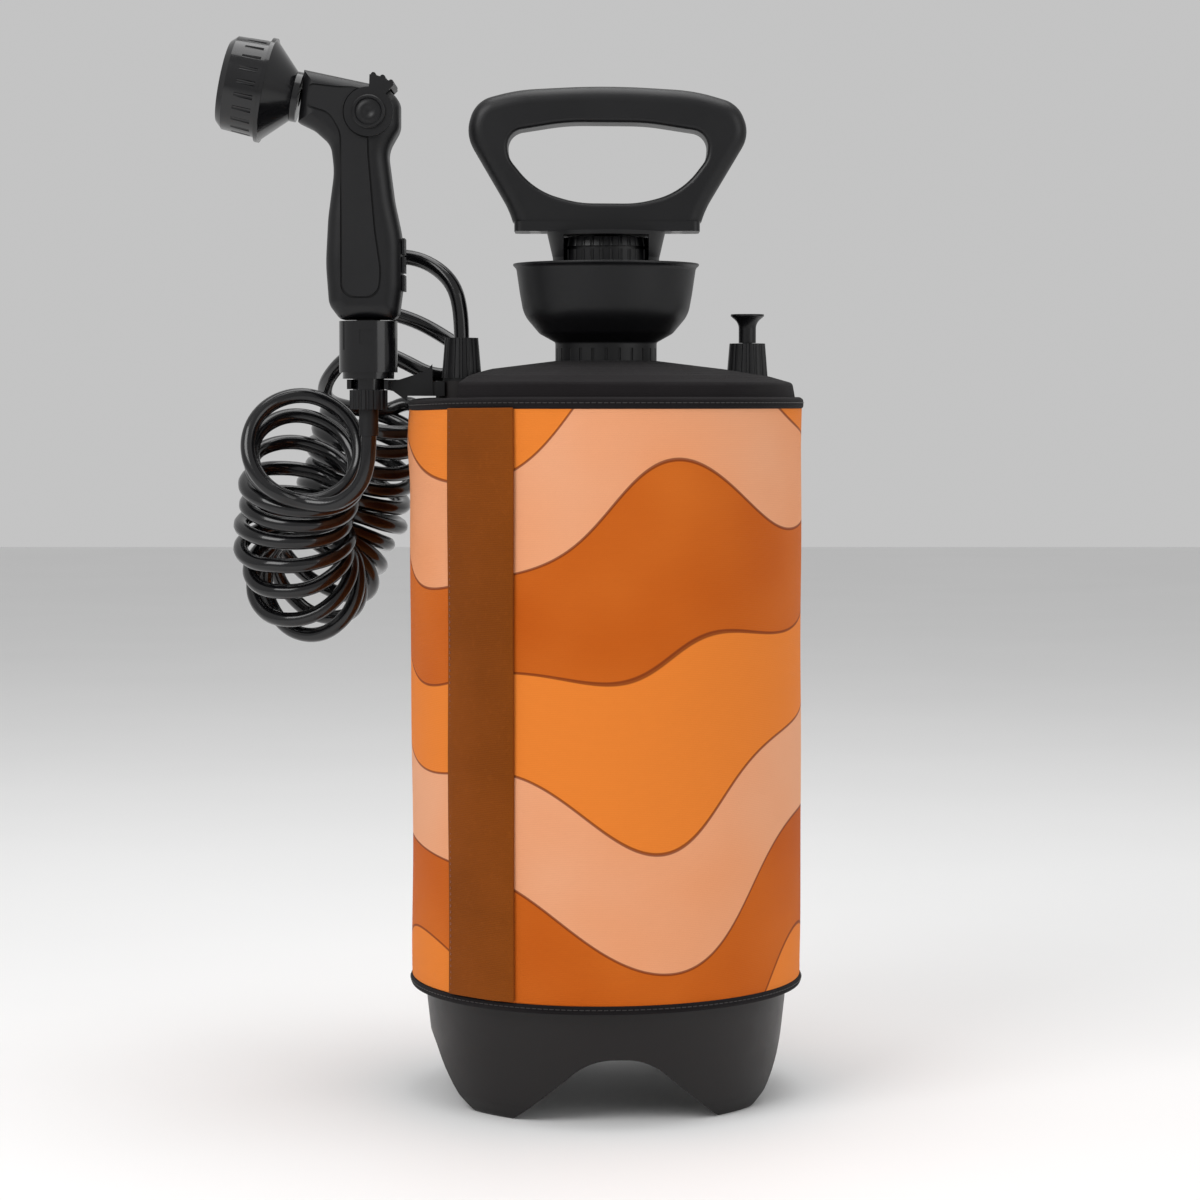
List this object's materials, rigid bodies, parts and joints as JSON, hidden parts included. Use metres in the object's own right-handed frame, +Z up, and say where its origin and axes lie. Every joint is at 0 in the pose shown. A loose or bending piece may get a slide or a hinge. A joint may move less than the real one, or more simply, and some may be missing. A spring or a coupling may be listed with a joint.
{
  "type": "portable shower",
  "caption": "Hand-pumped camping shower: sleeved tank on a footed base, filler bowl, D-handle pump, relief valve and a spray gun on a curly hose.",
  "frame": {"origin": "on the tank's axis, at the floor, midway between the feet", "axes": "+Z up along the tank, front towards -Y, gun and hose on the -X side"},
  "size_m": [0.2964, 0.2174, 0.5378],
  "materials": {
    "base": "satin moulded plastic",
    "tank": "moulded polyethylene",
    "print_fabric": "printed neoprene",
    "black_fabric": "binding tape",
    "brown_fabric": "printed neoprene flap",
    "rubber": "moulded rubber",
    "gloss_black": "smooth moulded plastic",
    "matte_black": "fine-grained moulded plastic",
    "steel": "zinc plated",
    "grip_black": "soft-feel inlay",
    "hose": "glossy flexible plastic"
  },
  "bodies": {
    "tank": {"base": "base", "tank": "tank", "sleeve_body": "print_fabric", "sleeve_bottom_binding": "black_fabric", "sleeve_top_binding": "black_fabric", "sleeve_top_panel": "black_fabric", "closure_tape": "black_fabric", "closure_strip": "brown_fabric", "bowl_gasket": "rubber", "filler_bowl": "gloss_black", "relief_gasket": "rubber", "relief_body": "matte_black", "relief_spring": "steel", "outlet_gasket": "rubber", "outlet_fitting": "matte_black", "outlet_nut": "matte_black", "outlet_lock_nut": "matte_black", "dip_tube": "matte_black", "strainer": "matte_black", "gun_holder": "matte_black", "hose_lead": "hose", "hose_coil": "hose", "hose_tail": "hose"},
    "neck_seal": {"neck_seal": "rubber"},
    "pump": {"pump_cap": "matte_black", "rod_guide": "matte_black", "pump_barrel": "matte_black", "barrel_foot": "matte_black", "check_valve": "rubber"},
    "piston": {"piston": "matte_black", "piston_ring": "rubber"},
    "plunger": {"plunger_rod": "matte_black", "rod_nut": "steel", "handle": "matte_black", "handle_plate": "matte_black", "handle_screws": "steel", "lock_prongs": "matte_black"},
    "relief_knob": {"relief_knob": "matte_black", "relief_seal": "rubber"},
    "gun": {"gun_shell_front": "matte_black", "gun_shell_rear": "matte_black", "gun_panel_front": "grip_black", "gun_panel_rear": "grip_black", "grip_ribs": "grip_black", "water_tube": "matte_black", "neck_ring": "gloss_black", "head_cone": "gloss_black", "head_seal": "rubber", "gun_adaptor": "matte_black", "o_rings": "rubber", "connector_body": "gloss_black", "collar_spring": "steel", "hose_nut": "matte_black", "hose_sleeve": "matte_black"},
    "thumb_lever": {"thumb_lever": "matte_black", "lever_shaft": "matte_black", "lever_caps": "matte_black"},
    "spray_dial": {"spray_dial": "gloss_black", "spray_face": "gloss_black"},
    "release_collar": {"release_collar": "gloss_black"}
  },
  "joints": [
    {"name": "pump_lift", "type": "slide", "parent": "tank", "child": "neck_seal", "axis": [0, 0, 1], "range_m": [0, 0.32]},
    {"name": "pump_unscrew", "type": "hinge", "parent": "neck_seal", "child": "pump", "pos_m": [0, 0, 0.395], "axis": [0, 0, 1], "range_deg": [0, 720]},
    {"name": "pump_stroke", "type": "slide", "parent": "pump", "child": "piston", "axis": [0, 0, 1], "range_m": [0, 0.2]},
    {"name": "handle_twist", "type": "hinge", "parent": "piston", "child": "plunger", "pos_m": [0, 0, 0.44], "axis": [0, 0, 1], "range_deg": [0, 90]},
    {"name": "relief_pull", "type": "slide", "parent": "tank", "child": "relief_knob", "axis": [0, 0, 1], "range_m": [0, 0.005], "stiffness_N_per_m": 400, "springref_m": -0.003, "deforming": ["relief_spring"]},
    {"name": "gun_release", "type": "slide", "parent": "tank", "child": "gun", "axis": [0, -1, 0], "range_m": [0, 0.04]},
    {"name": "lever_turn", "type": "hinge", "parent": "gun", "child": "thumb_lever", "pos_m": [-0.1183, -0.02, 0.499], "axis": [0, 1, 0], "range_deg": [0, 60]},
    {"name": "dial_turn", "type": "hinge", "parent": "gun", "child": "spray_dial", "pos_m": [-0.1552, -0.02, 0.5076], "axis": [-0.9781, 0, 0.2079], "continuous": true},
    {"name": "collar_slide", "type": "slide", "parent": "gun", "child": "release_collar", "axis": [0, 0, -1], "range_m": [0, 0.003], "stiffness_N_per_m": 600, "springref_m": -0.003, "deforming": ["collar_spring"]}
  ]
}
